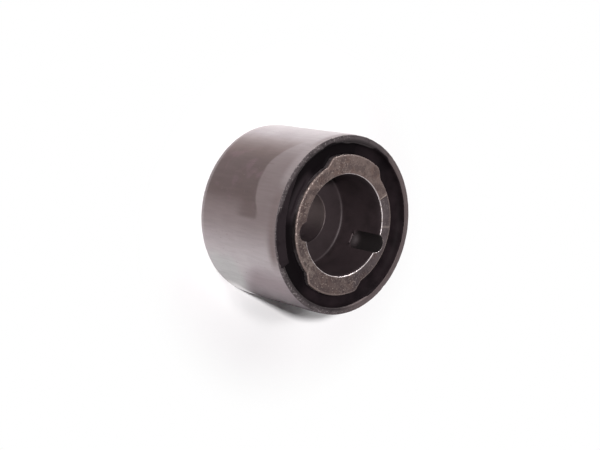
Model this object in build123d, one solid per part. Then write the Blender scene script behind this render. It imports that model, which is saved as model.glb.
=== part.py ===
from build123d import *

import os
from math import cos, radians, sin

# Rubber-metal bush: a steel sleeve and a lobed steel core, bonded together by rubber.
# The bush stands on its rear end: +Z runs along its axis to the counterbored front end, +Y points
# along the lobes, and the origin is on the axis at the rear end. All sizes are in millimetres.

# Outer sleeve
sleeve_od = 60.0
sleeve_wall = 2.4
bush_length = 39.0
lead_in_length = 4.0
lead_in_drop = 0.12
sleeve_edge_break = 0.25

# Inner core: its outside, which the rubber holds off the sleeve
rubber_wall = 6.3
lobe_height = 2.2
lobe_crown_angle = 52.0
lobe_flank_angle = 10.0
lobe_crown_fillet = 1.2
lobe_root_fillet = 2.0
core_edge_break = 0.4

# Inner core: its counterbore, grooves and bolt hole
counterbore_wall = 4.3
counterbore_depth = 20.0
counterbore_floor_fillet = 0.8
groove_width = 6.4
groove_wall = 1.7
groove_depth = 12.9
groove_end_fillet = 1.2
groove_angle_from_lobe = 104.5
mouth_edge_break = 0.4
bolt_hole_d = 18.0
bolt_hole_edge_break = 0.5

# Rubber: how far its dished ends lie below the ends of the core and the sleeve
rubber_below_core = 2.2
rubber_below_sleeve = 0.8
rubber_dish_depth = 2.4
rubber_dish_side = 1.6

# Sizes that follow from those above
sleeve_r = sleeve_od / 2
sleeve_inner_r = sleeve_r - sleeve_wall
core_r = sleeve_inner_r - rubber_wall
lobe_r = core_r + lobe_height
counterbore_r = core_r - counterbore_wall
groove_root_r = core_r - groove_wall
counterbore_floor_z = bush_length - counterbore_depth
bolt_hole_r = bolt_hole_d / 2

# How far a cutting body runs past the face that it cuts
overcut = 1.0


def at_angle(radius, degrees):
    """The point of an end plane at this radius, degrees round from +X."""
    return (radius * cos(radians(degrees)), radius * sin(radians(degrees)))


def build_outer_sleeve():
    """A drawn tube with a lead-in taper at each end, so that it starts square in its eye."""
    lead_r = sleeve_r - lead_in_drop
    edge_r = sleeve_inner_r + sleeve_edge_break
    section = Polyline(
        (edge_r, 0),
        (lead_r, 0),
        (sleeve_r, lead_in_length),
        (sleeve_r, bush_length - lead_in_length),
        (lead_r, bush_length),
        (edge_r, bush_length),
        (sleeve_inner_r, bush_length - sleeve_edge_break),
        (sleeve_inner_r, sleeve_edge_break),
        close=True,
    )
    return revolve(Plane.XZ * make_face(section), Axis.Z)


def distance_from_axis(vertex):
    """How far a vertex of a sketch lies from the bush's axis."""
    return Vector(vertex.X, vertex.Y).length


def core_outline():
    """The core's round outside with a wide lobe at +Y and another at -Y, each with sloped flanks."""
    half_crown = lobe_crown_angle / 2
    half_foot = half_crown + lobe_flank_angle
    edges = []
    for middle in (90, 270):
        right_foot = at_angle(core_r, middle - half_foot)
        right_crown = at_angle(lobe_r, middle - half_crown)
        left_crown = at_angle(lobe_r, middle + half_crown)
        left_foot = at_angle(core_r, middle + half_foot)
        next_foot = at_angle(core_r, middle + 180 - half_foot)
        edges += [
            Line(right_foot, right_crown),
            ThreePointArc(right_crown, at_angle(lobe_r, middle), left_crown),
            Line(left_crown, left_foot),
            ThreePointArc(left_foot, at_angle(core_r, middle + 90), next_foot),
        ]
    outline = make_face(edges)
    crowns = outline.vertices().sort_by(distance_from_axis)[4:]
    outline = fillet(crowns, lobe_crown_fillet)
    roots = outline.vertices().sort_by(distance_from_axis)[:4]
    return fillet(roots, lobe_root_fillet)


def core_cavity():
    """What the counterbore and the bolt hole take out of the core, as one turned shape."""
    rear_mouth_r = bolt_hole_r + bolt_hole_edge_break
    section = make_face(
        Polyline(
            (0, -overcut),
            (rear_mouth_r + overcut, -overcut),
            (bolt_hole_r, bolt_hole_edge_break),
            (bolt_hole_r, counterbore_floor_z),
            (counterbore_r, counterbore_floor_z),
            (counterbore_r, bush_length + overcut),
            (0, bush_length + overcut),
            close=True,
        )
    )
    floor_corner = section.vertices().sort_by_distance((counterbore_r, counterbore_floor_z, 0))[0]
    section = fillet(floor_corner, counterbore_floor_fillet)
    return revolve(Plane.XZ * section, Axis.Z)


def groove_cutter(angle):
    """A round-bottomed slot in the counterbore's wall, open at the mouth and closed at its far end."""
    half_width = groove_width / 2
    slot = Circle(half_width) + Pos(-half_width, 0) * Rectangle(groove_width, groove_width)
    slot = Pos(groove_root_r - half_width, 0, bush_length - groove_depth) * slot
    cutter = extrude(slot, groove_depth + overcut)
    far_end = cutter.faces().sort_by(Axis.Z)[0]
    return Rot(0, 0, angle) * fillet(far_end.edges(), groove_end_fillet)


def build_inner_core():
    """The steel core: lobed outside, counterbore with two grooves, and a bolt hole in its floor."""
    core = extrude(core_outline(), bush_length)
    for end in (core.faces().sort_by(Axis.Z)[0], core.faces().sort_by(Axis.Z)[-1]):
        core = chamfer(end.edges(), core_edge_break)
    core -= core_cavity()
    for side in (-1, 1):
        core -= groove_cutter(90 + side * groove_angle_from_lobe)
    front_face = core.faces().sort_by(Axis.Z)[-1]
    return chamfer(front_face.inner_wires()[0].edges(), mouth_edge_break)


def build_rubber_body():
    """The bonded rubber: a ring between sleeve and core with a shallow dish moulded in each end."""
    inside_r = core_r - overcut
    front_core_z = bush_length - rubber_below_core
    front_floor_z = bush_length - rubber_dish_depth
    front_sleeve_z = bush_length - rubber_below_sleeve
    section = Polyline(
        (inside_r, rubber_below_core),
        (core_r, rubber_below_core),
        (core_r + rubber_dish_side, rubber_dish_depth),
        (sleeve_inner_r - rubber_dish_side, rubber_dish_depth),
        (sleeve_inner_r, rubber_below_sleeve),
        (sleeve_inner_r, front_sleeve_z),
        (sleeve_inner_r - rubber_dish_side, front_floor_z),
        (core_r + rubber_dish_side, front_floor_z),
        (core_r, front_core_z),
        (inside_r, front_core_z),
        close=True,
    )
    ring = revolve(Plane.XZ * make_face(section), Axis.Z)
    return ring - extrude(core_outline(), bush_length)


parts = {
    "outer_sleeve": build_outer_sleeve(),
    "rubber_body": build_rubber_body(),
    "inner_core": build_inner_core(),
}

os.makedirs("parts", exist_ok=True)
for node, solid in parts.items():
    export_step(solid, f"parts/{node}.step")
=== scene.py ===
from collections import namedtuple
from math import atan2, cos, degrees, exp, hypot, pi, radians, sin, sqrt

import bmesh
import bpy
from bpy.props import FloatProperty, FloatVectorProperty, PointerProperty
from mathutils import Matrix, Vector, noise


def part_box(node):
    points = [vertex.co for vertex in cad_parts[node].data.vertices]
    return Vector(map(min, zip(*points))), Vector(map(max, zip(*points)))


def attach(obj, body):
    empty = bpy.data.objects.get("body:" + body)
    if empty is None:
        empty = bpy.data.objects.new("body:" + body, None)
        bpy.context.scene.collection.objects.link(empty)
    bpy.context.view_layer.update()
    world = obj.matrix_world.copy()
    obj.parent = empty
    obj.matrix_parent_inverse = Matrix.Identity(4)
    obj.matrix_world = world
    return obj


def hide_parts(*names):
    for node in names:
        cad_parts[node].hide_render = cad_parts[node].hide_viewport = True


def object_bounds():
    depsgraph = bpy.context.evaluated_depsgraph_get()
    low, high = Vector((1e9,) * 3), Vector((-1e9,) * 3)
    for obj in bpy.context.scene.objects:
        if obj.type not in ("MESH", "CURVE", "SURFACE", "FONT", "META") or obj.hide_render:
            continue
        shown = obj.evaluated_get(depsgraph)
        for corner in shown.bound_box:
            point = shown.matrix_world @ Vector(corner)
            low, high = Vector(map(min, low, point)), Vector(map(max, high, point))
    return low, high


bl_info = {
    "name": "Rubber-Metal Bush",
    "version": (1, 0, 0),
    "blender": (4, 5, 0),
    "location": "View3D > Sidebar > Bush",
    "description": "Builds a bonded rubber-metal bush with its finishes, in a plain pale studio",
    "category": "Object",
}

# The bush stands on its rear end. Bearings are degrees round its axis from +X towards +Y, and the
# core's lobes are at 90 and 270. Lengths are in metres: MM turns a length in millimetres into one.
MM = 0.001

# Blender's noise keeps within about 0.6 of zero, and this spreads it from about -1 to 1
NOISE_SPREAD = 1.6

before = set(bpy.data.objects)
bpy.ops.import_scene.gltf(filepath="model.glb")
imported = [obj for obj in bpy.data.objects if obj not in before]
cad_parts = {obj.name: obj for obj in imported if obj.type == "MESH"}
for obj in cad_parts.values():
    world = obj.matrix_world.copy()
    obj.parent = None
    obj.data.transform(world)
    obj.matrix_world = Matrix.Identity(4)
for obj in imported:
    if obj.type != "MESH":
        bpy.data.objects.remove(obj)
cad_low, cad_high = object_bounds()
sleeve_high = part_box("outer_sleeve")[1]
core_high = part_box("inner_core")[1]


# ---- Colours and soft steps ----


def linear(hex_colour):
    """An sRGB hex colour such as #8a7f79 as linear red, green, blue and alpha."""
    parts = [int(hex_colour[i : i + 2], 16) / 255 for i in (1, 3, 5)]
    return [p / 12.92 if p <= 0.04045 else ((p + 0.055) / 1.055) ** 2.4 for p in parts] + [1.0]


def ramp(low, high, value):
    """0 at low, 1 at high, and a soft step between them."""
    share = min(max((value - low) / (high - low), 0.0), 1.0)
    return share * share * (3 - 2 * share)


def mix(start, end, share):
    """The number that lies this share of the way from start to end."""
    return start + (end - start) * share


def turn(bearing, middle):
    """Degrees from middle to bearing, the shorter way round."""
    return (bearing - middle + 180) % 360 - 180


def arc(bearing, start, end, soft):
    """1 from bearing start on to bearing end, fading out over soft degrees past each of them."""
    half = (end - start) / 2
    return 1 - ramp(half, half + soft, abs(turn(bearing, start + half)))


def bearing_point(radius, bearing, height):
    """The point at this radius, bearing and height."""
    return Vector((radius * cos(radians(bearing)), radius * sin(radians(bearing)), height))


def ripple(bearing, waves, seed):
    """A smooth irregular wave round the axis, from about -1 to 1, that closes on itself."""
    place = bearing_point(waves / (2 * pi), bearing, seed)
    return NOISE_SPREAD * noise.noise(place)


def grain(place, size, seed=0.0):
    """Smooth noise in space, from about -1 to 1, with lumps of this size."""
    return NOISE_SPREAD * noise.noise(place / size + Vector((seed, 2 * seed, -seed)))


def pits(point, depth, size, seed=0.0):
    """How deep irregular pits of this size are at a point: about depth, and at most twice that."""
    return depth * (1 + grain(point, size, seed))


# ---- Sizes and colours that a user would change ----


def colour_setting(name, description, hex_colour):
    """A colour that a user may change, with an sRGB hex colour as its default."""
    return FloatVectorProperty(
        name=name, description=description, subtype="COLOR", size=4, default=linear(hex_colour))


def length_setting(name, description, default, low=0.0):
    """A length that a user may change, but not to less than low."""
    return FloatProperty(
        name=name, description=description, default=default, min=low, unit="LENGTH")


def power_setting(name, description, watts):
    """The power of a lamp, which a user may change."""
    return FloatProperty(
        name=name, description=description, default=watts, min=0.0, unit="POWER")


class BushSleeveSettings(bpy.types.PropertyGroup):
    """The steel sleeve's sizes and colours"""

    outer_radius: length_setting(
        "Outside radius", "Radius of the sleeve's straight outside", sleeve_high.x, 0.005)
    length: length_setting("Length", "Length of the sleeve along the axis", sleeve_high.z, 0.005)
    wall: length_setting("Wall", "Thickness of the drawn tube", 2.4 * MM, 0.5 * MM)
    lead_in_length: length_setting(
        "Lead-in length", "Length of the taper at each end", 4.0 * MM, 0.5 * MM)
    lead_in_drop: length_setting(
        "Lead-in drop", "How much the taper takes off the radius", 0.12 * MM)
    edge_round: length_setting(
        "Edge rounding", "Radius of the outer edge at each end", 0.18 * MM, 0.05 * MM)
    # Also painted over the front lead-in as a highlight
    steel_colour: colour_setting("Steel", "Colour of the phosphated outside", "#a59ea0")
    steel_warm_colour: colour_setting(
        "Warm steel", "Colour where the phosphate took thinly", "#9f9698")
    # Also the colour of painted shade on one side and on the front lead-in
    oil_and_shade_colour: colour_setting("Oil", "Colour under a thin film of oil", "#675a5a")
    stain_colour: colour_setting("Stain", "Colour of the stain and of thick oil", "#4f4140")
    red_tint: colour_setting("Red tint", "Colour of the red spots in the stain", "#665056")
    # Painted shade below a slanting line, in a lighter and a deeper shade
    painted_shade_colour: colour_setting(
        "Thin run", "Colour where oil has just begun to run together", "#7a6c70")
    deep_painted_shade_colour: colour_setting("Thick run", "Colour where the oil stands thick", "#43383d")
    brown_tint: colour_setting("Brown tint", "Colour along the stain's sides", "#766560")
    end_colour: colour_setting("Cut end", "Colour of the cut end face", "#50484a")
    primer_colour: colour_setting(
        "Primer", "Colour of the bonding primer on the end and in the bore", "#1d1819")
    thin_coat_colour: colour_setting(
        "Thin coat", "Neutral colour where the coat is worn thin", "#a09e9e")
    # A painted reflection of the floor by the rear end
    painted_floor_reflection_colour: colour_setting(
        "Rubbed steel", "Colour where the coat is rubbed off by the rear end", "#dedada")
    bare_colour: colour_setting("Bare steel", "Colour where an edge is knocked bright", "#a69c9c")


class BushRubberSettings(bpy.types.PropertyGroup):
    """The moulded rubber's sizes and colours"""

    below_core: length_setting(
        "Depth at the core", "How far the rubber meets the core below its end", 2.2 * MM)
    below_sleeve: length_setting(
        "Depth at the sleeve", "How far the rubber meets the sleeve below its end", 0.8 * MM)
    dish_depth: length_setting("Dish depth", "Depth of the dish moulded in each end", 2.4 * MM)
    rubber_colour: colour_setting("Rubber", "Colour of the moulded rubber", "#0b0709")
    bloom_colour: colour_setting("Bloom", "Colour where wax has bloomed to the surface", "#251d20")
    lip_colour: colour_setting(
        "Lip bloom", "Colour of the thick bloom on the run-over lip", "#2b2427")


class BushCoreSettings(bpy.types.PropertyGroup):
    """The forged core's sizes and colours"""

    round_radius: length_setting(
        "Round radius", "Radius of the core's side between its lobes", core_high.x, 0.005)
    lobe_radius: length_setting(
        "Lobe radius", "Radius of the core's side on its two lobes", core_high.y, 0.005)
    lobe_crown: FloatProperty(
        name="Lobe crown", description="Angle that each lobe's full height covers",
        default=radians(52), min=radians(5), max=radians(120), subtype="ANGLE")
    lobe_flank: FloatProperty(
        name="Lobe flank", description="Angle over which a lobe rises",
        default=radians(10), min=radians(2), max=radians(40), subtype="ANGLE")
    length: length_setting("Length", "Length of the core along the axis", core_high.z, 0.005)
    counterbore_wall: length_setting(
        "Counterbore wall", "Metal between the counterbore and the core's side", 4.3 * MM, MM)
    counterbore_depth: length_setting(
        "Counterbore depth", "Depth of the counterbore's floor", 20.0 * MM, MM)
    groove_width: length_setting(
        "Groove width", "Width of each round-bottomed key groove", 6.4 * MM, MM)
    groove_wall: length_setting(
        "Groove wall", "Metal left between a groove and the core's side", 1.7 * MM, 0.2 * MM)
    groove_depth: length_setting(
        "Groove depth", "How far each groove runs down the counterbore", 12.9 * MM, MM)
    bolt_hole_radius: length_setting(
        "Bolt hole radius", "Radius of the hole through the core's floor", 9.0 * MM, MM)
    # Also painted as shade on one side of the mouth's chamfer
    face_colour: colour_setting("Blasted face", "Colour of the grit-blasted end face", "#685955")
    face_cool_colour: colour_setting(
        "Cool face", "Colour of the end face beyond its tool line", "#494144")
    speck_colour: colour_setting("Specks", "Colour of the facets that catch the light", "#a3958d")
    # Also the colour of painted shade on the face's lower half and on the chamfer in the grooves
    oil_and_shade_colour: colour_setting(
        "Oily pits", "Colour of the pits and the oil in the end face", "#33282a")
    side_colour: colour_setting("Side", "Colour of the core's smooth forged side", "#6c6365")
    chamfer_colour: colour_setting(
        "Mouth chamfer", "Colour of the bright chamfer round the mouth", "#b6adae")
    bore_colour: colour_setting("Bore", "Colour of the counterbore and the grooves", "#45393c")
    # Also the colour of painted shade in the grooves and of a painted dark reflection on the
    # core's side
    bore_oil_and_shade_colour: colour_setting("Bore oil", "Colour where oil lies in the bore", "#1e1819")
    # Painted light, on the side of the bolt hole's wall where light falls
    lit_hole_colour: colour_setting("Bolt hole", "Colour of the bolt hole's wall", "#7b6d6c")
    rust_colour: colour_setting("Rust", "Colour of the rust in the grooves", "#553d35")


class BushStudioSettings(bpy.types.PropertyGroup):
    """The camera, the softboxes, the room's light and the floor"""

    focal_length: FloatProperty(
        name="Focal length", description="Focal length of the camera on its 36 mm sensor",
        default=74.16, min=10, max=300, unit="CAMERA")
    camera_distance: length_setting("Camera distance", "From the camera to the bush", 0.4272, 0.1)
    key_power: power_setting("Key power", "Power of the key softbox", 29.5)
    top_power: power_setting("Top power", "Power of the softbox overhead", 6.5)
    side_power: power_setting("Side power", "Power of the low softbox on the lobe's side", 46.0)
    fill_power: power_setting("Fill power", "Power of the fill softbox", 11.2)
    ambient: FloatProperty(
        name="Ambient", description="Strength of the room's light on the bush",
        default=0.015, min=0.0, max=1.0, subtype="FACTOR")
    floor_clear: length_setting(
        "Clear floor", "From the shadow's middle to where the floor is plain white",
        68 * MM, 50 * MM)
    floor_colour: colour_setting("Floor", "Colour of the paper floor", "#f8f6f7")


# ---- Meshes ----


def add_object(name, data):
    """An object with this mesh, lamp or camera in it, put in the scene."""
    thing = bpy.data.objects.new(name, data)
    bpy.context.scene.collection.objects.link(thing)
    return thing


def skin(name, rings, finishes):
    """A closed mesh object over rings of points, where each ring is a (finish, points) pair.

    Faces join each ring to the next one, and the last to the first. A ring's finish is the index
    in finishes of the material on the faces that lead to it."""
    count = len(rings[0][1])
    points = [point for _, ring in rings for point in ring]
    faces = []
    slots = []
    for index, (finish, _) in enumerate(rings):
        here, before = index * count, (index - 1) % len(rings) * count
        for step in range(count):
            after = (step + 1) % count
            faces.append((before + step, before + after, here + after, here + step))
            slots.append(finish)
    mesh = bpy.data.meshes.new(name)
    mesh.from_pydata(points, [], faces)
    for finish in finishes:
        mesh.materials.append(finish)
    mesh.polygons.foreach_set("material_index", slots)
    mesh.polygons.foreach_set("use_smooth", [True] * len(faces))
    return add_object(name, mesh)


def sink(piece, depth_at):
    """Weld the skin, turn it outwards and sink it by depth_at(finish, point), never raising it."""
    shell = bmesh.new()
    shell.from_mesh(piece.data)
    bmesh.ops.remove_doubles(shell, verts=shell.verts, dist=0.002 * MM)
    bmesh.ops.recalc_face_normals(shell, faces=shell.faces)
    shell.normal_update()
    moves = []
    for vertex in shell.verts:
        finish = max(face.material_index for face in vertex.link_faces)
        moves.append(vertex.normal * -max(depth_at(finish, vertex.co), 0.0))
    for vertex, move in zip(shell.verts, moves):
        vertex.co += move
    shell.to_mesh(piece.data)
    shell.free()


def between(steps, start=0, end=1):
    """The numbers from start to end, in equal steps, with start left out."""
    return [mix(start, end, (step + 1) / steps) for step in range(steps)]


def rounded(steps):
    """(run, rise) pairs from 0 to 1 along a quarter circle that starts level and ends upright."""
    return [(sin(pi / 2 * share), 1 - cos(pi / 2 * share)) for share in between(steps)]


def install(piece, node):
    """Let the piece stand for its CAD node and ride on the one body."""
    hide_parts(node)
    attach(piece, "root")


# ---- Outer sleeve: a cold-drawn steel tube ----

STEPS_ROUND = 720
BEARINGS = [360 * step / STEPS_ROUND for step in range(STEPS_ROUND)]
SLEEVE_SIDE, SLEEVE_END, SLEEVE_RIM = 0, 1, 2

# The sleeve's front end lies this much low, so that the film of rubber over it is in the box
FILM = 0.1 * MM

# Knocks on the front rim: bearing, size and depth
RIM_KNOCKS = [
    (144.0, 0.55 * MM, 0.28 * MM),
    (155.0, 0.40 * MM, 0.16 * MM),
    (171.0, 0.70 * MM, 0.14 * MM),
    (175.5, 0.50 * MM, 0.12 * MM),
    (210.5, 0.60 * MM, 0.34 * MM),
    (322.0, 0.50 * MM, 0.15 * MM),
]


def sleeve_bore(sleeve):
    """Radius of the sleeve's bore."""
    return sleeve.outer_radius - sleeve.wall


def burr(bearing):
    """How far the rim's inner edge is pushed in over the rubber: a flat burr near one lobe."""
    return MM * (0.5 + 0.15 * ripple(bearing, 40, 3.1)) * arc(bearing, 82, 102, 8)


def sleeve_section(sleeve):
    """Up the sleeve's outside and down its bore: (finish, pushed, points) for each stretch.

    A point is a radius and a height, and a pushed stretch is the one that the burr moves."""
    outer, bore, drop = sleeve.outer_radius, sleeve_bore(sleeve), sleeve.lead_in_drop
    lead, taper, edge = outer - drop, sleeve.lead_in_length, sleeve.edge_round
    high = sleeve.length - FILM
    bevel, bore_edge = 0.25 * MM, 1.5 * MM
    side = [(lead - edge + edge * run, edge * rise) for run, rise in rounded(5)]
    side += [(lead + drop * sin(pi / 2 * s), mix(edge, taper, s)) for s in between(6)]
    side += [(outer, mix(taper, high - taper, s)) for s in between(24)]
    side += [
        (outer - drop * (1 - cos(pi / 2 * s)), mix(high - taper, high - edge, s))
        for s in between(6)]
    rim = [(lead - edge * rise, high - edge + edge * run) for run, rise in rounded(5)]
    front = [(mix(lead - edge, bore + bevel, s), high) for s in between(8)]
    front += [(bore + bevel * (1 - s), high - bevel * s) for s in between(3)]
    inside = [(bore, high - bore_edge), (bore, bore_edge)]
    inside += [(bore + bevel * s, bevel * (1 - s)) for s in between(3)]
    inside += [(mix(bore + bevel, lead - edge, s), 0.0) for s in between(6)[:-1]]
    return [
        (SLEEVE_END, False, [(lead - edge, 0.0)]), (SLEEVE_SIDE, False, side),
        (SLEEVE_RIM, False, rim), (SLEEVE_END, True, front), (SLEEVE_END, False, inside)]


def knock_depth(point, rim_radius, rim_height):
    """How far the knocks sink a point of the front rim."""
    depth = 0.0
    for bearing, size, deep in RIM_KNOCKS:
        away = (point - bearing_point(rim_radius, bearing, rim_height)).length
        depth += deep * exp(-((away / size) ** 2))
    return depth


def build_sleeve(sleeve, finishes):
    """The sleeve's mesh, with its burr, its knocked rim and the drawn tube's faint waves."""
    rim_radius, bore = sleeve.outer_radius - sleeve.lead_in_drop, sleeve_bore(sleeve)
    rings = []
    for finish, pushed, points in sleeve_section(sleeve):
        for radius, height in points:
            share = ramp(rim_radius - sleeve.edge_round, bore, radius) if pushed else 0.0
            ring = [bearing_point(radius - share * burr(b), b, height) for b in BEARINGS]
            rings.append((finish, ring))
    piece = skin("steel_sleeve", rings, finishes)
    rim_width = 1.2 * MM
    wave_depth, wave_size, drawn_out = 0.012 * MM, 6 * MM, 4

    def depth_at(finish, point):
        if hypot(point.x, point.y) < rim_radius - rim_width:
            return 0.0
        drawn = Vector((point.x, point.y, point.z / drawn_out))
        waves = wave_depth * (2 + grain(drawn, wave_size))
        worn = pits(point, 0.03 * MM, 1.1 * MM) * ramp(33 * MM, 38.6 * MM, point.z)
        return waves + worn + knock_depth(point, rim_radius, sleeve.length)

    sink(piece, depth_at)
    return piece


# ---- Rubber body: natural rubber moulded and bonded between sleeve and core ----


def core_side(core, bearing):
    """Radius of the core's lobed side at this bearing."""
    crown, flank, rounding = degrees(core.lobe_crown) / 2, degrees(core.lobe_flank), 0.6
    away = min(abs(turn(bearing, 90)), abs(turn(bearing, 270)))
    share = min(max((crown + flank - away) / flank, 0.0), 1.0)
    share = mix(share, ramp(0, 1, share), rounding)
    return mix(core.round_radius, core.lobe_radius, share)


# Where a thin flash of rubber lies over the sleeve's front end: how far it reaches from the bore
# in mm, how ragged it is, and the bearings and softness of its arc
FLASHES = [(1.75, 0.5, (182, 214, 16)), (0.85, 1.5, (117, 182, 8)), (1.1, 1.0, (63, 73, 6))]

# Where a bead stands by the core
BEADS = [(-42, 18, 14), (153, 174, 8)]


def lip_share(bearing):
    """1 where the rubber has run over to a flush lip, on one side of the front end."""
    return (1 - ramp(215, 217.5, bearing)) * ramp(141, 160, bearing)


def flash_reach(bearing):
    """How far the flash lies over the sleeve's front end, outward from its bore."""
    ragged = 0.16 * ripple(bearing, 26, 5.5) + 0.08 * ripple(bearing, 90, 7.5)
    reaches = [(reach + share * ragged) * arc(bearing, *where) for reach, share, where in FLASHES]
    return MM * max(*reaches, 0.0)


def rubber_depth(rubber, bearing, gap, wall_gap):
    """Depth of the front end's rubber, gap from the core's side and wall_gap from the bore."""
    flush_depth, core_fillet = 0.05 * MM, 0.35 * MM
    bead_height, bead_gap, bead_width = 0.75 * MM, 1.5 * MM, 0.8 * MM
    floor = rubber.dish_depth + 0.08 * MM * ripple(bearing, 18, 1.7)
    at_core = (rubber.dish_depth - rubber.below_core + core_fillet) * exp(-gap / core_fillet)
    flush = max(lip_share(bearing), arc(bearing, -50, 142, 10))
    top = mix(rubber.below_sleeve, flush_depth, flush)
    sleeve_fillet = mix(0.7 * MM, 0.8 * MM, flush)
    climb = (rubber.dish_depth - top) * exp(-wall_gap / sleeve_fillet)
    bead = bead_height * exp(-(((gap - bead_gap) / bead_width) ** 2))
    depth = floor - at_core - climb - bead * max(arc(bearing, *where) for where in BEADS)
    narrow = 1 - ramp(144, 178, bearing)
    lip_start = MM * (3.6 + 1.6 * narrow + 0.35 * ripple(bearing, 14, 9.3))
    lip_slope = mix(0.8, 1.2, narrow) * MM
    lip = lip_share(bearing) * ramp(lip_start, lip_start + lip_slope, gap)
    lip_depth = flush_depth + 0.02 * MM * (1 + ripple(bearing, 30, 2.2))
    return max(mix(depth, lip_depth, lip), 0.0)


def build_rubber(rubber, core, sleeve, finishes):
    """The rubber ring's mesh, dished at both ends, with a run-over lip and flash at the front."""
    bore, length = sleeve_bore(sleeve), sleeve.length
    into_core, into_sleeve = 0.3 * MM, 0.1 * MM
    core_fillet, sleeve_fillet, least_flash = 0.4 * MM, 0.7 * MM, 0.15 * MM

    def across(share, place):
        ring = []
        for bearing in BEARINGS:
            start = core_side(core, bearing)
            radius = mix(start - into_core, bore, share)
            height = place(bearing, radius - start, bore - radius)
            ring.append(bearing_point(radius, bearing, height))
        return ring

    def front(bearing, gap, wall_gap):
        return length - rubber_depth(rubber, bearing, max(gap, 0.0), max(wall_gap, 0.0))

    def rear(bearing, gap, wall_gap):
        at_core = (rubber.dish_depth - rubber.below_core) * exp(-max(gap, 0.0) / core_fillet)
        climb = (rubber.dish_depth - rubber.below_sleeve) * exp(-wall_gap / sleeve_fillet)
        return rubber.dish_depth - at_core - climb

    def flash(share):
        ring = []
        for bearing in BEARINGS:
            top = length - rubber_depth(rubber, bearing, bore, 0.0)
            reach = max(flash_reach(bearing), least_flash)
            ring.append(bearing_point(bore + reach * share, bearing, top - FILM * share**3))
        return ring

    rings = [across(share, front) for share in [0.0] + between(40)]
    rings += [flash(share) for share in between(6)]
    for height in (length - 2 * MM, length / 2, 2 * MM):
        rings.append([bearing_point(bore + into_sleeve, b, height) for b in BEARINGS])
    rings += [across(share, rear) for share in [1.0] + between(24, 1, 0)]
    for height in (4 * MM, length / 2, length - 4 * MM):
        rings.append([bearing_point(core_side(core, b) - into_core, b, height) for b in BEARINGS])
    piece = skin("moulded_rubber_ring", [(0, ring) for ring in rings], finishes)

    def depth_at(finish, point):
        in_sleeve = hypot(point.x, point.y) > bore + 0.05 * MM
        if in_sleeve or 3 * MM < point.z < length - 3.5 * MM:
            return 0.0
        return pits(point, 0.02 * MM, 2.5 * MM) + pits(point, 0.012 * MM, 0.7 * MM)

    sink(piece, depth_at)
    return piece


# ---- Inner core: a forged steel core, blasted, with a bored counterbore ----

CORE_SIDE, CORE_FACE, CORE_BORE, CORE_RIM, CORE_MOUTH = 0, 1, 2, 3, 4
GROOVE_FROM_LOBE = 104.5
GROOVE_BEARINGS = (90 - GROOVE_FROM_LOBE, 90 + GROOVE_FROM_LOBE)
ARC_STEPS = 36
DEGREES_APART = 0.55

# Widths of the mouth's chamfer: round the counterbore, in the grooves and at the corners between
BORE_RIM, GROOVE_RIM, CORNER_RIM = 0.3 * MM, 0.12 * MM, 0.2 * MM

# A column runs through the core's section at one bearing: the mouth's point, the way into the
# metal there, the way out from the axis, the lobed side's radius and the mouth's chamfer width
Column = namedtuple("Column", "mouth into out side rim")


def counterbore(core):
    """Radius of the core's counterbore."""
    return core.round_radius - core.counterbore_wall


def core_columns(core):
    """Columns round the core: evenly spaced on its round parts, and closer along each groove."""
    bore = counterbore(core)
    half = core.groove_width / 2
    centre = core.round_radius - core.groove_wall - half
    corner_x = (bore**2 + centre**2 - half**2) / (2 * centre)
    corner_y = sqrt(bore**2 - corner_x**2)
    corner_turn = degrees(atan2(corner_y, corner_x - centre))
    corner_bearing = degrees(atan2(corner_y, corner_x))
    lines = []
    corners = []
    for index, middle in enumerate(GROOVE_BEARINGS):
        groove_centre = bearing_point(centre, middle, 0)
        for step in range(ARC_STEPS + 1):
            into = bearing_point(1, middle + mix(-corner_turn, corner_turn, step / ARC_STEPS), 0)
            lines.append((groove_centre + into * half, into, GROOVE_RIM))
        for side in (-1, 1):
            leaning = middle + side * (corner_turn + corner_bearing) / 2
            place = bearing_point(bore, middle + side * corner_bearing, 0)
            corners.append((place, bearing_point(1, leaning, 0)))
        start = middle + corner_bearing
        end = GROOVE_BEARINGS[1 - index] + 360 * index - corner_bearing
        steps = round((end - start) / DEGREES_APART)
        for bearing in between(steps, start, end)[:-1]:
            into = bearing_point(1, bearing, 0)
            lines.append((into * bore, into, BORE_RIM))
    corner_reach = 1.1 * MM
    columns = []
    for mouth, into, rim in lines:
        for place, leaning in corners:
            away = ramp(0, corner_reach, (mouth - place).length)
            into = leaning.lerp(into, away)
            rim = mix(CORNER_RIM, rim, away)
        out = mouth.normalized()
        side = core_side(core, degrees(atan2(out.y, out.x)) % 360)
        columns.append(Column(mouth, into.normalized(), out, side, rim))
    return columns


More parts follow.
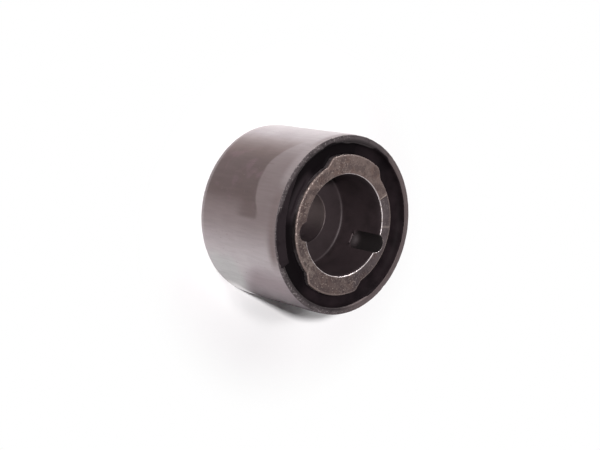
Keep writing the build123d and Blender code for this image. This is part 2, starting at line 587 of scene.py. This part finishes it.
def core_rings(core):
    """The core's rings, from the rear face up its side, over the front face and down the bores."""
    columns = core_columns(core)
    bore, hole = counterbore(core), core.bolt_hole_radius
    edge, floor_round, hole_round, hole_bevel = 0.6 * MM, 0.8 * MM, 0.25 * MM, 0.5 * MM
    high = core.length
    floor = high - core.counterbore_depth
    groove_end = high - core.groove_depth
    end_round = 2.3 * MM
    rings = []

    def add(finish, height, place):
        rings.append((finish, [place(c) + Vector((0, 0, height)) for c in columns]))

    for run, rise in rounded(4):
        add(CORE_SIDE, edge * rise, lambda c: c.out * (c.side - edge + edge * run))
    for height in (1.5 * MM, 3 * MM, 6 * MM, 12 * MM, high / 2):
        add(CORE_SIDE, height, lambda c: c.out * c.side)
    for below in (6 * MM, 4 * MM, 3 * MM, 2.3 * MM, 1.6 * MM, 1.1 * MM, edge):
        add(CORE_SIDE, high - below, lambda c: c.out * c.side)
    for run, rise in rounded(5):
        add(CORE_RIM, high - edge + edge * run, lambda c: c.out * (c.side - edge * rise))
    for share in between(26):
        add(CORE_FACE, high,
            lambda c: (c.out * (c.side - edge)).lerp(c.mouth + c.into * c.rim, share))
    for run, rise in rounded(4):
        rings.append((CORE_MOUTH, [
            c.mouth + c.into * c.rim * (1 - run) + Vector((0, 0, high - c.rim * rise))
            for c in columns]))
    for share in between(12):
        add(CORE_BORE, mix(high - BORE_RIM, groove_end + end_round, share), lambda c: c.mouth)

    def groove_foot(c, inset):
        point = c.mouth - c.into * inset
        return c.out * max(point.dot(c.out), bore) if point.length < bore else point

    for run, rise in rounded(5):
        add(CORE_BORE, groove_end + end_round * (1 - run),
            lambda c: groove_foot(c, end_round * rise))
    for share in between(3):
        add(CORE_BORE, groove_end, lambda c: groove_foot(c, end_round).lerp(c.out * bore, share))
    for share in between(8):
        add(CORE_BORE, mix(groove_end, floor + floor_round, share), lambda c: c.out * bore)
    for run, rise in rounded(5):
        add(CORE_BORE, floor + floor_round * (1 - run),
            lambda c: c.out * (bore - floor_round * rise))
    for share in between(16):
        add(CORE_BORE, floor, lambda c: c.out * mix(bore - floor_round, hole + hole_round, share))
    for run, rise in rounded(4):
        add(CORE_BORE, floor - hole_round * rise,
            lambda c: c.out * (hole + hole_round * (1 - run)))
    for share in between(10):
        add(CORE_BORE, mix(floor - hole_round, hole_bevel, share), lambda c: c.out * hole)
    for share in between(2):
        add(CORE_BORE, hole_bevel * (1 - share), lambda c: c.out * (hole + hole_bevel * share))
    for share in between(12):
        add(CORE_FACE, 0.0, lambda c: c.out * mix(hole + hole_bevel, c.side - edge, share))
    return rings


def build_core(core, finishes):
    """The core's mesh, with the coarse grain of its face and its softened, chipped edges."""
    piece = skin("forged_core", core_rings(core), finishes)
    shown = 2.8 * MM

    def depth_at(finish, point):
        if finish == CORE_BORE:
            return pits(point, 0.01 * MM, 1.6 * MM)
        if shown < point.z < core.length - shown:
            return 0.0
        bearing = degrees(atan2(point.y, point.x)) % 360
        side = core_side(core, bearing) - hypot(point.x, point.y)
        rough_side = 0.4 + 0.6 * arc(bearing, 130, 240, 20)
        chips = ramp(1.3 * MM, 0.2 * MM, side) * ramp(0.25, 0.8, grain(point, 0.9 * MM, 4.0))
        blasted = pits(point, 0.025, 0.9 * MM) + pits(point, 0.02, 0.45 * MM, 2.0)
        smooth_side = 0.25 if finish == CORE_SIDE else 1.0
        return MM * (smooth_side * blasted + 0.2 * rough_side * chips)

    sink(piece, depth_at)
    return piece


# ---- Materials ----


def add_node(tree, kind, inputs=None, **settings):
    """Add a shader node of this kind with its settings, and set or link its inputs.

    An input that is a node or a socket is linked, and any other one is set."""
    node = tree.nodes.new("ShaderNode" + kind)
    for name, value in settings.items():
        setattr(node, name, value)
    for name, value in (inputs or {}).items():
        if isinstance(value, bpy.types.Node):
            value = next(output for output in value.outputs if output.enabled)
        if isinstance(value, bpy.types.NodeSocket):
            tree.links.new(value, node.inputs[name])
        else:
            node.inputs[name].default_value = value
    return node


def new_material(name):
    """An empty node material and its tree."""
    material = bpy.data.materials.new(name)
    material.use_nodes = True
    material.node_tree.nodes.clear()
    return material, material.node_tree


def place_on_bush(tree):
    """Sockets for a point of the bush: its place, its bearing in degrees, and its X, Y and Z.

    The bearing runs from -90 to 270, so its seam is in the middle of one lobe."""
    place = add_node(tree, "TexCoord").outputs["Object"]
    parts = add_node(tree, "SeparateXYZ", {"Vector": place}).outputs
    back = add_node(tree, "Math", {0: parts["X"], 1: -1.0}, operation="MULTIPLY")
    angle = add_node(tree, "Math", {0: back, 1: parts["Y"]}, operation="ARCTAN2")
    bearing = add_node(tree, "Math", {0: angle, 1: 180 / pi, 2: 90.0}, operation="MULTIPLY_ADD")
    return place, bearing, parts


def past_seam(tree, bearing):
    """The bearing counted from 90 to 450, so that a band can run on past the seam at 270."""
    return add_node(tree, "Math", {0: bearing, 1: 450.0, 2: 90.0}, operation="WRAP")


def from_axis(tree, place):
    """How far a point of the bush lies from its axis."""
    flat = add_node(tree, "VectorMath", {0: place, 1: (1.0, 1.0, 0.0)}, operation="MULTIPLY")
    return add_node(tree, "VectorMath", {0: flat}, operation="LENGTH").outputs["Value"]


# An end, in metres, for a band that has no edge there: no point of the bush lies so far out
FAR = 1.0


def soft_band(tree, value, start, end, soft_start, soft_end, peak=1.0):
    """A mask that is at its peak where value is from start to end.

    It rises over soft_start before the start, and falls over soft_end past the end."""
    rise = add_node(
        tree, "MapRange",
        {"Value": value, "From Min": start - soft_start, "From Max": start, "To Max": peak},
        interpolation_type="SMOOTHSTEP")
    fall = add_node(
        tree, "MapRange",
        {"Value": value, "From Min": end, "From Max": end + soft_end,
         "To Min": 1.0, "To Max": 0.0},
        interpolation_type="SMOOTHSTEP")
    return add_node(tree, "Math", {0: rise, 1: fall}, operation="MULTIPLY")


def spots(tree, place, size, low, high, peak=1.0):
    """A mask of irregular spots of about this size.

    It is 0 where their noise is under low, and at its peak where it is over high."""
    lumps = add_node(tree, "TexNoise", {"Vector": place, "Scale": 1 / size, "Detail": 3.0})
    return add_node(
        tree, "MapRange", {"Value": lumps, "From Min": low, "From Max": high, "To Max": peak},
        interpolation_type="SMOOTHSTEP")


def all_of(tree, *masks):
    """The product of masks: each a socket, a number, or a tuple of what soft_band takes."""
    factors = [soft_band(tree, *mask) if isinstance(mask, tuple) else mask for mask in masks]
    product = factors[0]
    for factor in factors[1:]:
        product = add_node(tree, "Math", {0: product, 1: factor}, operation="MULTIPLY")
    return product


def layered(tree, ground, layers):
    """The ground colour with layers over it: each a colour and the masks that it shows through."""
    colour = ground
    for cover, *masks in layers:
        colour = add_node(
            tree, "Mix", {0: all_of(tree, *masks), 6: colour, 7: cover}, data_type="RGBA")
    return colour


def embossed(tree, *bumps):
    """A normal with bumps laid one on another: each a height, its depth and its strength.

    A negative depth presses the height in."""
    normal = {}
    for height, depth, strength in bumps:
        bump = add_node(
            tree, "Bump",
            {"Strength": strength, "Distance": abs(depth), "Height": height, **normal},
            invert=depth < 0)
        normal = {"Normal": bump}
    return bump


def finished(material, colour, inputs):
    """The material, given a shader of this colour with these inputs."""
    tree = material.node_tree
    shader = add_node(tree, "BsdfPrincipled", {"Base Color": colour, **inputs})
    add_node(tree, "OutputMaterial", {"Surface": shader})
    return material


def drawn_phosphated_steel(sleeve):
    """Cold-drawn steel tube, thinly phosphated and oiled.

    To the eye: a satin grey that is mottled where the phosphate took unevenly. One long stain has
    a sharp bowed edge and warm tints, the drawing left faint streaks and scuffs along the axis,
    and the lead-in shows turned rings. Painted shade darkens a broad band on one side, the sleeve
    below a line that slants round it and parts of the lead-in, a painted highlight lies on the
    lead-in between, and a painted reflection of the floor lightens one side by the rear end."""
    material, tree = new_material("drawn_phosphated_steel")
    place, bearing, parts = place_on_bush(tree)
    onward = past_seam(tree, bearing)
    depth = add_node(tree, "Math", {0: sleeve.length, 1: parts["Z"]}, operation="SUBTRACT")
    along = add_node(tree, "Mapping", {"Vector": place, "Scale": (1.0, 1.0, 0.12)})
    across = add_node(tree, "Mapping", {"Vector": place, "Scale": (1.0, 1.0, 12.0)})
    mottle = add_node(tree, "TexNoise", {"Vector": place, "Scale": 1 / (7 * MM), "Detail": 4.0})

    # The stain: its edge is bowed round the axis, and a little ragged
    stain_middle, bow, ragged = 157.5, 0.0064 * MM, 1.6 * MM
    off_middle = add_node(tree, "Math", {0: bearing, 1: stain_middle}, operation="SUBTRACT")
    squared = add_node(tree, "Math", {0: off_middle, 1: 2.0}, operation="POWER")
    edge = add_node(tree, "Math", {0: squared, 1: bow, 2: depth}, operation="MULTIPLY_ADD")
    edge = add_node(tree, "Math", {0: mottle, 1: ragged, 2: edge}, operation="MULTIPLY_ADD")
    behind = soft_band(tree, edge, 14.9 * MM, FAR, 1.2 * MM, FAR)
    patch = all_of(tree, behind, (bearing, 145, 172, 20, 14, 0.95))

    # Painted shade, below a line that slants round the sleeve
    shade_slant = -0.465 * MM
    shade_edge = add_node(tree, "Math", {0: onward, 1: shade_slant, 2: depth}, operation="MULTIPLY_ADD")
    run = soft_band(tree, shade_edge, -200 * MM, -90.5 * MM, MM, 8.5 * MM)
    thin_painted_shade = all_of(tree, run, (onward, 230, 275, 22, 60, 0.95))
    deep_painted_shade = all_of(tree, run, (onward, 259, 268, 30, 34))

    # Marks of making and handling, and the mask of the lead-in's painted shade
    shaded_lead_in = all_of(
        tree, (depth, -MM, 1.8 * MM, MM, 3.2 * MM), (bearing, 172, 206, 16, 16, 0.95))
    rings = add_node(tree, "TexNoise", {"Vector": across, "Scale": 1 / (5 * MM), "Detail": 2.0})
    streaks = add_node(
        tree, "TexNoise", {"Vector": along, "Scale": 1 / (0.9 * MM), "Detail": 3.0})
    scuffs = all_of(
        tree, spots(tree, along, 1.6 * MM, 0.58, 0.70, 0.4), (bearing, 147, 166, 6, 10),
        (depth, 12 * MM, 26 * MM, 2 * MM, 4 * MM))
    # The phosphate's crystals are too fine to show, so their grain is drawn 0.6 mm coarse
    grit = add_node(tree, "TexNoise", {"Vector": place, "Scale": 1 / (0.6 * MM), "Detail": 2.0})
    ragged_depth = add_node(
        tree, "Math", {0: mottle, 1: 6 * MM, 2: depth}, operation="MULTIPLY_ADD")

    ground = add_node(
        tree, "Mix", {0: mottle, 6: sleeve.steel_colour, 7: sleeve.steel_warm_colour},
        data_type="RGBA")
    colour = layered(tree, ground, [
        # Painted shade in a broad band on one side, and the stain with its foot, its red spots and
        # its warm top
        (sleeve.oil_and_shade_colour, (bearing, 150, 184, 44, 36, 0.93)),
        (sleeve.stain_colour, patch),
        (sleeve.stain_colour, behind, (bearing, 172, 184.5, 8, 3, 0.75),
         (depth, 11 * MM, 16 * MM, 2 * MM, 6 * MM)),
        (sleeve.red_tint, patch, spots(tree, place, 5 * MM, 0.52, 0.72, 0.5)),
        (sleeve.brown_tint, behind, (bearing, 130, 139, 8, 12, 0.25)),
        # The coat worn thin towards the rear end, and the painted shade below the slanting line
        # over it
        (sleeve.thin_coat_colour, (depth, 26 * MM, FAR, 5 * MM, FAR),
         (onward, 222, 250, 12, 12, 0.9)),
        (sleeve.painted_shade_colour, thin_painted_shade),
        (sleeve.deep_painted_shade_colour, deep_painted_shade),
        # The front lead-in: painted shade on one side and on top, and a painted highlight between
        (sleeve.oil_and_shade_colour, shaded_lead_in),
        (sleeve.oil_and_shade_colour, (depth, -MM, 1.2 * MM, MM, 2.6 * MM),
         (bearing, 60, 122, 20, 12, 0.65)),
        (sleeve.steel_colour, (depth, -MM, 1.6 * MM, MM, 3.2 * MM),
         (bearing, 143, 156, 14, 14, 0.25)),
        # A painted reflection of the floor by the rear end, scuffs, pits and the paler rear edge
        (sleeve.painted_floor_reflection_colour, (ragged_depth, 37 * MM, FAR, 5 * MM, FAR),
         (onward, 250, 260, 12, 40, 0.9)),
        (sleeve.stain_colour, scuffs),
        (sleeve.oil_and_shade_colour, spots(tree, place, 0.7 * MM, 0.66, 0.74, 0.5)),
        (sleeve.steel_colour, (depth, 38.2 * MM, FAR, MM, FAR, 0.4)),
    ])
    tone = add_node(
        tree, "MapRange",
        {"Value": streaks, "From Min": 0.3, "From Max": 0.7, "To Min": 0.93, "To Max": 1.06})
    colour = add_node(
        tree, "Mix", {0: 1.0, 6: colour, 7: tone}, data_type="RGBA", blend_type="MULTIPLY")
    roughness = add_node(
        tree, "MapRange",
        {"Value": mottle, "From Min": 0.3, "From Max": 0.7, "To Min": 0.40, "To Max": 0.52})
    # The painted shade also takes away metal and gloss
    metallic = add_node(tree, "MapRange", {"Value": thin_painted_shade, "To Min": 0.2, "To Max": 0.0})
    gloss = add_node(tree, "MapRange", {"Value": deep_painted_shade, "To Min": 0.35, "To Max": 0.0})
    relief = embossed(
        tree, (grit, 0.010 * MM, 0.5), (streaks, 0.007 * MM, 0.6),
        (all_of(tree, rings, shaded_lead_in), 0.02 * MM, 0.6), (scuffs, -0.05 * MM, 0.8))
    return finished(material, colour, {
        "Metallic": metallic, "Roughness": roughness, "Specular IOR Level": gloss,
        "Normal": relief})


def parted_steel_end(sleeve):
    """The tube's end, parted off in a lathe, phosphated, and smeared with bonding primer.

    To the eye: a dull dark band with fine turned rings, blackest along its bore, and with specks
    of bare metal round half of it."""
    material, tree = new_material("parted_steel_end")
    place, bearing, _ = place_on_bush(tree)
    radius = from_axis(tree, place)
    # The tool's lines are too fine to show, so they are drawn 0.25 mm apart
    turned = all_of(tree, radius, 1 / (0.25 * MM))
    rings = add_node(
        tree, "TexNoise", {"W": turned, "Scale": 1.0, "Detail": 1.0}, noise_dimensions="1D")
    colour = layered(tree, sleeve.end_colour, [
        (sleeve.primer_colour, spots(tree, place, 2.2 * MM, 0.48, 0.66, 0.5)),
        (sleeve.bare_colour, spots(tree, place, 0.6 * MM, 0.55, 0.67, 0.4),
         (past_seam(tree, bearing), 108, 270, 14, 40)),
        (sleeve.primer_colour, (radius, 0, sleeve_bore(sleeve) + 0.3 * MM, MM, 1.2 * MM, 0.8)),
        (sleeve.oil_and_shade_colour, (bearing, -60, 50, 25, 25, 0.6)),
    ])
    return finished(material, colour, {
        "Metallic": 0.4, "Roughness": 0.6, "Specular IOR Level": 0.2,
        "Normal": embossed(tree, (rings, 0.012 * MM, 0.5))})


def worn_steel_edge(name, dull, bright, lump):
    """A steel edge whose coat has been knocked off in places.

    To the eye: the dull coat broken up by specks of bright metal, each about a lump wide."""
    material, tree = new_material(name)
    place = add_node(tree, "TexCoord").outputs["Object"]
    bare = spots(tree, place, lump, 0.6, 0.72)
    dents = add_node(tree, "TexNoise", {"Vector": place, "Scale": 1 / lump, "Detail": 3.0})
    return finished(material, layered(tree, dull, [(bright, bare)]), {
        "Metallic": 0.4, "Roughness": 0.42, "Normal": embossed(tree, (dents, 0.04 * MM, 0.8))})


def chamfered_steel(core):
    """The chamfer cut round the mouth after the blasting.

    To the eye: a thin bright line of bare metal, rubbed dull in patches and flecked. Painted shade
    dulls the side that faces away from the light and darkens it in the grooves."""
    material, tree = new_material("chamfered_steel")
    place, bearing, _ = place_on_bush(tree)
    radius = from_axis(tree, place)
    colour = layered(tree, core.chamfer_colour, [
        (core.face_colour, spots(tree, place, MM, 0.5, 0.65, 0.6)),
        # Painted shade on the side that faces away from the light
        (core.face_colour, (bearing, 112, 192, 14, 6, 0.9)),
        # Painted shade in the grooves
        (core.oil_and_shade_colour, (radius, counterbore(core) + 0.8 * MM, FAR, 0.6 * MM, FAR, 0.85),
         (bearing, -15, 250, 3, 1)),
        (core.speck_colour, spots(tree, place, 0.5 * MM, 0.58, 0.66, 0.8)),
    ])
    return finished(material, colour, {"Metallic": 0.8, "Roughness": 0.4})


def moulded_natural_rubber(rubber):
    """Black natural rubber, as it leaves a blasted mould.

    To the eye: nearly black and matt, with a violet-grey bloom of wax in soft patches, thickest
    on the lip and in a smear by the core."""
    material, tree = new_material("moulded_natural_rubber")
    place, bearing, parts = place_on_bush(tree)
    # The grain that the blasted mould leaves is finer than this, which is as coarse as will show
    texture = add_node(
        tree, "TexNoise", {"Vector": place, "Scale": 1 / (0.35 * MM), "Detail": 3.0})
    colour = layered(tree, rubber.rubber_colour, [
        (rubber.bloom_colour, spots(tree, place, 7 * MM, 0.2, 0.8, 0.9),
         (past_seam(tree, bearing), 252, 420, 14, 50)),
        (rubber.lip_colour, (bearing, 158, 214, 16, 3, 0.8),
         (parts["Z"], 38.6 * MM, FAR, 1.1 * MM, FAR), spots(tree, place, 5 * MM, 0.2, 0.55)),
        (rubber.lip_colour, (from_axis(tree, place), 0, 22.6 * MM, MM, 2.2 * MM),
         (bearing, 146, 178, 10, 12, 0.8)),
    ])
    return finished(material, colour, {
        "Roughness": 0.62, "Specular IOR Level": 0.04,
        "Normal": embossed(tree, (texture, 0.02 * MM, 0.6))})


def blasted_forged_steel(core):
    """Forged steel, grit-blasted and left bare under a little oil.

    To the eye: a coarse warm grey grain. Pale specks stand where a facet catches the light, dark
    pits and oil lie on one side, and a faint tool line crosses the face where its tone changes."""
    material, tree = new_material("blasted_forged_steel")
    place, bearing, parts = place_on_bush(tree)
    # The pits that the grit leaves, drawn a little coarser than real ones so that they show
    grit = add_node(
        tree, "TexNoise",
        {"Vector": place, "Scale": 1 / (0.55 * MM), "Detail": 3.0, "Roughness": 0.6})
    pale = add_node(
        tree, "MapRange", {"Value": grit, "From Min": 0.56, "From Max": 0.72, "To Max": 0.75},
        interpolation_type="SMOOTHSTEP")
    coarse = add_node(
        tree, "MapRange",
        {"Value": soft_band(tree, past_seam(tree, bearing), 104, 296, 16, 40), "To Min": 0.4})
    line = soft_band(tree, bearing, 36.2, 36.8, 0.5, 0.5, 0.7)

    # A fine hatching that leans over as it runs outwards
    lean, degrees_apart = 1.55 / MM, 2.6
    slope = add_node(
        tree, "Math", {0: from_axis(tree, place), 1: lean, 2: bearing}, operation="MULTIPLY_ADD")
    wave = add_node(tree, "Math", {0: slope, 1: 2 * pi / degrees_apart}, operation="MULTIPLY")
    hatching = add_node(tree, "Math", {0: wave}, operation="SINE")

    colour = layered(tree, core.face_colour, [
        # Tints, scale, oil and painted highlights in specks, each over its own stretch of the face
        # or in patches all over it
        (core.face_cool_colour, (bearing, -60, 36, 10, 1.5, 0.85)),
        (core.rust_colour, spots(tree, place, 4.5 * MM, 0.5, 0.68, 0.35)),
        (core.oil_and_shade_colour, spots(tree, place, 2.6 * MM, 0.45, 0.62, 0.42)),
        (core.speck_colour, (bearing, 204, 234, 12, 12),
         spots(tree, place, 1.2 * MM, 0.42, 0.6, 0.45)),
        (core.oil_and_shade_colour, (bearing, 152, 214, 34, 14),
         spots(tree, place, 3.2 * MM, 0.36, 0.62, 0.6)),
        # Pits, the tool line, painted shade over the lower half, and the hatching
        (core.oil_and_shade_colour, spots(tree, place, 0.9 * MM, 0.55, 0.67, 0.65), coarse),
        (core.oil_and_shade_colour, line),
        (core.oil_and_shade_colour, (parts["Y"], -FAR, -15 * MM, MM, 9 * MM, 0.45)),
        (core.oil_and_shade_colour, hatching, (bearing, 128, 141, 3, 3, 0.6)),
        # Bright specks, the ridge by the tool line, and a scratch
        (core.speck_colour, pale, coarse),
        (core.speck_colour, (bearing, 37.6, 38.2, 0.5, 0.6, 0.6)),
        (core.speck_colour, (bearing, 5.6, 6.2, 1.2, 1.6, 0.3)),
    ])
    return finished(material, colour, {
        "Metallic": 0.5, "Roughness": 0.5, "Specular IOR Level": 0.3,
        "Normal": embossed(tree, (grit, 0.07 * MM, 0.8), (line, -0.10 * MM, 1.0))})


def forged_steel_side(core):
    """The core's forged side, rubbed smooth by the mould's seal.

    To the eye: a smooth cool grey strip with soft tool marks, painted black by one groove as a
    dark reflection of the rubber."""
    material, tree = new_material("forged_steel_side")
    place, bearing, _ = place_on_bush(tree)
    marks = add_node(tree, "TexNoise", {"Vector": place, "Scale": 1 / (1.5 * MM), "Detail": 3.0})
    colour = layered(tree, core.side_colour, [
        (core.oil_and_shade_colour, spots(tree, place, 2 * MM, 0.45, 0.65, 0.6)),
        # Painted dark reflection of the black rubber, by one groove
        (core.bore_oil_and_shade_colour, (bearing, 184, 206, 14, 8, 0.8)),
    ])
    return finished(material, colour, {
        "Metallic": 0.5, "Roughness": 0.45, "Normal": embossed(tree, (marks, 0.03 * MM, 0.5))})


def bored_steel(core):
    """Bored steel in the counterbore, the grooves and the bolt hole, dark with oil.

    To the eye: smoother and darker than the face, with faint turned lines. Painted light makes the
    bolt hole's wall paler on the side where light falls on it, painted shade darkens the grooves,
    and a trace of rust tints the grooves."""
    material, tree = new_material("bored_steel")
    place, bearing, parts = place_on_bush(tree)
    radius, height = from_axis(tree, place), parts["Z"]
    floor, groove_end = core.length - core.counterbore_depth, core.length - core.groove_depth
    # The boring tool's lines are too fine to show, so they are drawn 0.5 mm apart
    across = add_node(tree, "Mapping", {"Vector": place, "Scale": (1.0, 1.0, 7.0)})
    lines = add_node(tree, "TexNoise", {"Vector": across, "Scale": 1 / (3.5 * MM), "Detail": 2.0})
    # The grooves are darkened with painted shade, a quarter less at their rounded ends
    above_end = add_node(
        tree, "MapRange",
        {"Value": height, "From Min": groove_end + MM, "From Max": groove_end + 2.4 * MM,
         "To Min": 0.75})
    groove = all_of(
        tree, (radius, counterbore(core) + 0.6 * MM, FAR, 0.6 * MM, FAR), above_end)
    roughness = add_node(tree, "MapRange", {"Value": groove, "To Min": 0.54, "To Max": 0.75})
    colour = layered(tree, core.bore_colour, [
        (core.bore_oil_and_shade_colour, spots(tree, place, 6 * MM, 0.35, 0.75, 0.5)),
        (core.bore_oil_and_shade_colour,
         (height, floor - 0.5 * MM, floor + 0.4 * MM, 0.1 * MM, 0.5 * MM, 0.4)),
        # Painted light on the side of the bolt hole's wall where light falls
        (core.lit_hole_colour, (radius, 0, core.bolt_hole_radius + 0.1 * MM, MM, 0.1 * MM),
         (bearing, 25, 95, 65, 65, 0.8)),
        # Painted shade in the grooves
        (core.bore_oil_and_shade_colour, groove),
        (core.rust_colour, groove, (bearing, 180, 206, 6, 6),
         spots(tree, place, 2.5 * MM, 0.25, 0.5, 0.85)),
    ])
    return finished(material, colour, {
        "Metallic": 0.5, "Roughness": roughness,
        "Normal": embossed(tree, (lines, 0.03 * MM, 0.5))})


def seen_directly(tree):
    """1 for a ray from the camera, a reflection or through glass, and 0 for light on the bush."""
    rays = add_node(tree, "LightPath").outputs
    bounced = add_node(
        tree, "Math", {0: rays["Is Glossy Ray"], 1: rays["Is Transmission Ray"]},
        operation="MAXIMUM")
    return add_node(tree, "Math", {0: rays["Is Camera Ray"], 1: bounced}, operation="MAXIMUM")


def white_paper(studio):
    """Matt white paper, uncoated: it takes the bush's soft shadow, and far off it is plain white.

    Only the camera and reflections see the plain white, so it adds no light to the bush."""
    shadow_middle, horizon, fade_from = (14 * MM, -6 * MM, 0.0), 1e3, 43 * MM
    material, tree = new_material("white_paper")
    place = add_node(tree, "TexCoord").outputs["Object"]
    from_shadow = add_node(tree, "VectorMath", {0: place, 1: shadow_middle}, operation="SUBTRACT")
    share = all_of(
        tree, seen_directly(tree),
        (from_axis(tree, from_shadow), studio.floor_clear, horizon,
         studio.floor_clear - fade_from, FAR))
    paper = add_node(tree, "BsdfDiffuse", {"Color": studio.floor_colour})
    white = add_node(tree, "Emission", {"Color": (1, 1, 1, 1), "Strength": 1.0})
    surface = add_node(tree, "MixShader", {0: share, 1: paper, 2: white})
    add_node(tree, "OutputMaterial", {"Surface": surface})
    return material


# ---- Studio ----

SOFTBOX_DISTANCE = 1.8

# Each softbox: its bearing and elevation in degrees, its width and height in metres, and the
# setting that holds its power
SOFTBOXES = {
    "key_softbox": (165.5, 54.5, 0.10, 0.10, "key_power"),
    "top_softbox": (138, 70.5, 0.20, 0.20, "top_power"),
    "side_softbox": (72, 3, 1.00, 0.12, "side_power"),
    "fill_softbox": (224, 3.2, 0.80, 0.14, "fill_power"),
}


def add_camera(studio):
    """The camera looks down on the standing bush, rolled so that its axis lies across the view."""
    bearing, elevation, roll = radians(-92.04), radians(48.14), radians(-102.48)
    aim = Vector((3.370 * MM, -3.128 * MM, 13.366 * MM))
    back = Vector((sin(bearing) * cos(elevation), -cos(bearing) * cos(elevation), sin(elevation)))
    data = bpy.data.cameras.new("camera")
    data.lens = studio.focal_length
    data.sensor_width = 36
    data.clip_start = 0.01
    camera = add_object("camera", data)
    upright = back.to_track_quat("Z", "Y").to_matrix()
    camera.matrix_world = (
        Matrix.Translation(aim + back * studio.camera_distance)
        @ (upright @ Matrix.Rotation(-roll, 3, "Z")).to_4x4()
    )
    bpy.context.scene.camera = camera


def add_softbox(name, bearing, elevation, width, height, power):
    """A rectangular area lamp at this bearing and elevation, facing the bush's middle."""
    middle = (cad_low + cad_high) / 2
    back = bearing_point(cos(radians(elevation)), bearing, sin(radians(elevation)))
    data = bpy.data.lights.new(name, "AREA")
    data.shape = "RECTANGLE"
    data.size, data.size_y, data.energy = width, height, power
    lamp = add_object(name, data)
    lamp.location = middle + back * SOFTBOX_DISTANCE
    lamp.rotation_euler = back.to_track_quat("Z", "Y").to_euler()


def add_room_light(studio):
    """The room: plain white where the camera and reflections see it, and dimmer as a light."""
    world = bpy.data.worlds.new("room")
    world.use_nodes = True
    tree = world.node_tree
    tree.nodes.clear()
    strength = add_node(
        tree, "MapRange", {"Value": seen_directly(tree), "To Min": studio.ambient, "To Max": 1.0})
    room = add_node(tree, "Background", {"Color": (1, 1, 1, 1), "Strength": strength})
    add_node(tree, "OutputWorld", {"Surface": room})
    bpy.context.scene.world = world


def add_floor(studio):
    """A plain paper floor under the bush, wide enough to reach the horizon."""
    mesh = bpy.data.meshes.new("paper_floor")
    reach = 6.0
    corners = [(-reach, -reach, 0), (reach, -reach, 0), (reach, reach, 0), (-reach, reach, 0)]
    mesh.from_pydata(corners, [], [(0, 1, 2, 3)])
    mesh.materials.append(white_paper(studio))
    add_object("paper_floor", mesh)


# ---- Operators and panel ----


class BUSH_OT_outer_sleeve(bpy.types.Operator):
    """Build the drawn steel sleeve"""

    bl_idname = "bush.outer_sleeve"
    bl_label = "Outer Sleeve"

    def execute(self, context):
        sleeve = context.scene.bush_sleeve
        finishes = [
            drawn_phosphated_steel(sleeve),
            parted_steel_end(sleeve),
            worn_steel_edge(
                "knocked_steel_rim", sleeve.end_colour, sleeve.bare_colour, 0.8 * MM),
        ]
        piece = build_sleeve(sleeve, finishes)
        install(piece, "outer_sleeve")
        return {"FINISHED"}


class BUSH_OT_rubber_body(bpy.types.Operator):
    """Build the moulded rubber between the sleeve and the core"""

    bl_idname = "bush.rubber_body"
    bl_label = "Rubber Body"

    def execute(self, context):
        scene = context.scene
        finishes = [moulded_natural_rubber(scene.bush_rubber)]
        piece = build_rubber(scene.bush_rubber, scene.bush_core, scene.bush_sleeve, finishes)
        install(piece, "rubber_body")
        return {"FINISHED"}


class BUSH_OT_inner_core(bpy.types.Operator):
    """Build the forged steel core"""

    bl_idname = "bush.inner_core"
    bl_label = "Inner Core"

    def execute(self, context):
        core = context.scene.bush_core
        finishes = [
            forged_steel_side(core),
            blasted_forged_steel(core),
            bored_steel(core),
            worn_steel_edge(
                "chipped_steel_edge", core.face_colour, core.speck_colour, 0.5 * MM),
            chamfered_steel(core),
        ]
        piece = build_core(core, finishes)
        install(piece, "inner_core")
        return {"FINISHED"}


class BUSH_OT_studio(bpy.types.Operator):
    """Set up the camera, the floor, the room's light and the softboxes"""

    bl_idname = "bush.studio"
    bl_label = "Studio"

    def execute(self, context):
        studio = context.scene.bush_studio
        add_camera(studio)
        add_floor(studio)
        add_room_light(studio)
        for name, (*placing, power) in SOFTBOXES.items():
            add_softbox(name, *placing, getattr(studio, power))
        context.scene.view_settings.view_transform = "Standard"
        return {"FINISHED"}


class BUSH_PT_panel(bpy.types.Panel):
    """The bush's settings and the buttons that build its pieces"""

    bl_label = "Rubber-Metal Bush"
    bl_idname = "BUSH_PT_panel"
    bl_space_type = "VIEW_3D"
    bl_region_type = "UI"
    bl_category = "Bush"

    def draw(self, context):
        for operator, settings in PANEL_ROWS:
            box = self.layout.box()
            group = getattr(context.scene, settings)
            for name in group.__annotations__:
                box.prop(group, name)
            box.operator(operator.bl_idname)


PANEL_ROWS = [
    (BUSH_OT_outer_sleeve, "bush_sleeve"),
    (BUSH_OT_rubber_body, "bush_rubber"),
    (BUSH_OT_inner_core, "bush_core"),
    (BUSH_OT_studio, "bush_studio"),
]

SETTINGS = {
    "bush_sleeve": BushSleeveSettings,
    "bush_rubber": BushRubberSettings,
    "bush_core": BushCoreSettings,
    "bush_studio": BushStudioSettings,
}

CLASSES = [*SETTINGS.values(), *[operator for operator, _ in PANEL_ROWS], BUSH_PT_panel]


def register():
    """Register the classes and hang their settings on the scene."""
    for cls in CLASSES:
        bpy.utils.register_class(cls)
    for name, group in SETTINGS.items():
        setattr(bpy.types.Scene, name, PointerProperty(type=group))


def unregister():
    """Undo what register did."""
    for name in SETTINGS:
        delattr(bpy.types.Scene, name)
    for cls in reversed(CLASSES):
        bpy.utils.unregister_class(cls)


def main():
    register()
    bpy.ops.bush.studio()
    bpy.ops.bush.outer_sleeve()
    bpy.ops.bush.rubber_body()
    bpy.ops.bush.inner_core()


if __name__ == "__main__":
    main()
